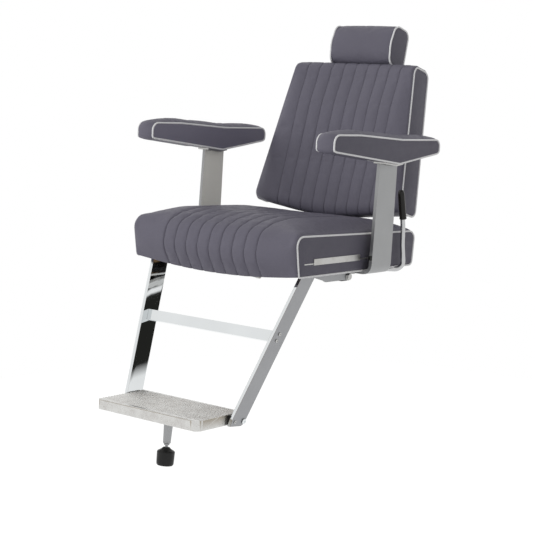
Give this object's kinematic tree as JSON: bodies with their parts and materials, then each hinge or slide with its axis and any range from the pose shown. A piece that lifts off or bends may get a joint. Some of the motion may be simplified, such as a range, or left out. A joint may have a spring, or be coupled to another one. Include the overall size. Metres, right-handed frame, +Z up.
{
  "type": "barber chair upper",
  "caption": "Upper part of a reclining barber chair: channelled seat and back, headrest on a flat stem, padded arms on flat posts, and a leg rest with a folding tread.",
  "frame": {"origin": "middle of the underside of the base plate, where the lifting pump bolts on", "axes": "+Z up, -Y the way the sitter faces, +X the sitter's left"},
  "size_m": [0.65, 1.0007, 1.0809],
  "materials": {
    "upholstery": "matt grained vinyl, mauve grey",
    "chrome": "bright plated",
    "steel": "plain",
    "frame_black": "satin black",
    "plywood": "raw",
    "aluminium": "cast, lightly polished",
    "rubber": "matt black",
    "grip": "black"
  },
  "bodies": {
    "seat_base": {"base_plate": "steel", "seat_frame": "frame_black", "seat_board": "plywood", "seat_cushion": "upholstery", "trim_bar_left": "chrome", "trim_bar_right": "chrome", "arm_post_left": "chrome", "arm_post_right": "chrome", "post_plug_left": "rubber", "post_plug_right": "rubber", "post_bolt_inner_left": "steel", "post_bolt_outer_left": "steel", "post_bolt_inner_right": "steel", "post_bolt_outer_right": "steel", "arm_plate_left": "steel", "arm_plate_right": "steel", "arm_pad_left": "upholstery", "arm_pad_right": "upholstery", "leg_bracket_left": "chrome", "leg_bracket_right": "chrome", "bracket_bolt_left": "steel", "bracket_bolt_right": "steel", "lever_bearing": "steel", "recline_cylinder": "steel", "cylinder_pin": "steel"},
    "backrest": {"back_hinge_arm_left": "frame_black", "back_hinge_arm_right": "frame_black", "back_shaft": "steel", "back_board": "plywood", "back_cushion": "upholstery", "back_shell": "frame_black", "stem_socket": "steel"},
    "headrest_mast": {"headrest_stem": "chrome"},
    "headrest": {"headrest_cushion": "upholstery", "tilt_bracket": "steel", "tilt_pin": "steel"},
    "leg_rest": {"leg_bar_left": "chrome", "leg_bar_right": "chrome", "leg_shaft": "steel", "cross_bar": "chrome", "cross_screw_upper_left": "steel", "cross_screw_upper_right": "steel", "cross_screw_lower_left": "steel", "cross_screw_lower_right": "steel", "tread_bolt_left": "chrome", "tread_bolt_right": "chrome", "stop_pin_left": "steel", "stop_pin_right": "steel"},
    "tread": {"tread_plate": "aluminium", "stop_block_left": "rubber", "stop_block_right": "rubber", "foot_stem": "aluminium"},
    "bumper": {"rubber_bumper": "rubber"},
    "recline_lever": {"lever_rod": "chrome", "lever_grip": "grip"},
    "recline_links": {"link_rod_left": "steel", "link_rod_right": "steel"},
    "cylinder_rod": {"recline_rod": "chrome"},
    "valve": {"valve_pin": "chrome"}
  },
  "joints": [
    {"name": "back_recline", "type": "hinge", "parent": "seat_base", "child": "backrest", "pos_m": [0, 0.23823, 0.02433], "axis": [-1, 0, 0], "range_deg": [0, 45]},
    {"name": "leg_rest_swing", "type": "hinge", "parent": "seat_base", "child": "leg_rest", "pos_m": [0, -0.21666, 0.05212], "axis": [-1, 0, 0], "range_deg": [0, 30]},
    {"name": "link_turn", "type": "hinge", "parent": "backrest", "child": "recline_links", "pos_m": [0, 0.24387, 0.00723], "axis": [-1, 0, 0], "range_deg": [-45, 0]},
    {"name": "recline_rod_slide", "type": "slide", "parent": "seat_base", "child": "cylinder_rod", "axis": [0, -0.9953, 0.0969], "range_m": [0, 0.0138]},
    {"name": "recline_lever_pull", "type": "hinge", "parent": "seat_base", "child": "recline_lever", "pos_m": [0, 0.08321, 0.0163], "axis": [-1, 0, 0], "range_deg": [0, 18], "stiffness_Nm_per_rad": 2, "springref_deg": -28.65},
    {"name": "valve_pin_push", "type": "slide", "parent": "seat_base", "child": "valve", "axis": [0, 0.9973, -0.0741], "range_m": [0, 0.0046]},
    {"name": "headrest_slide", "type": "slide", "parent": "backrest", "child": "headrest_mast", "axis": [0, 0.3412, 0.94], "range_m": [0, 0.1]},
    {"name": "headrest_tilt", "type": "hinge", "parent": "headrest_mast", "child": "headrest", "pos_m": [0, 0.40194, 0.58406], "axis": [-1, 0, 0], "range_deg": [-15, 20]},
    {"name": "tread_fold", "type": "hinge", "parent": "leg_rest", "child": "tread", "pos_m": [0, -0.39282, -0.30381], "axis": [-1, 0, 0], "range_deg": [0, 90]},
    {"name": "bumper_tilt", "type": "hinge", "parent": "tread", "child": "bumper", "pos_m": [0, -0.47571, -0.39392], "axis": [-1, 0, 0], "range_deg": [-8, 8]}
  ],
  "couplings": [
    {"joint": "leg_rest_swing", "follows": "back_recline", "ratio": 0.6666},
    {"joint": "link_turn", "follows": "back_recline", "ratio": -1},
    {"joint": "recline_rod_slide", "follows": "back_recline", "m_per_rad": 0.01754},
    {"joint": "valve_pin_push", "follows": "recline_lever_pull", "m_per_rad": 0.0146}
  ]
}
